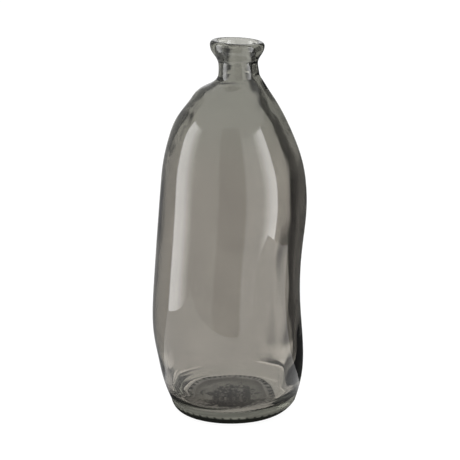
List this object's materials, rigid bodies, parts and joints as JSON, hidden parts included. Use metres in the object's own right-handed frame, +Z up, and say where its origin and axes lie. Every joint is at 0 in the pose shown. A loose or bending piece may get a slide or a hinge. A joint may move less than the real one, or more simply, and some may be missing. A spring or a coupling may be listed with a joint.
{
  "type": "bottle vase",
  "caption": "Free-form blown glass bottle vase with a short offset neck, a flared lip and a thick pushed-up base.",
  "frame": {"origin": "on the standing plane, under the middle of the body's outline", "axes": "+Z up along the neck's bore, +X to the right as seen from the front, +Y away from the front"},
  "size_m": [0.1437, 0.1378, 0.3507],
  "materials": {
    "smoke_glass": "gloss, fire-polished recycled glass with a smoke-grey tint, soft ripples and a stippled foot"
  },
  "bodies": {
    "root": {"glass_body": "smoke_glass"}
  },
  "joints": []
}
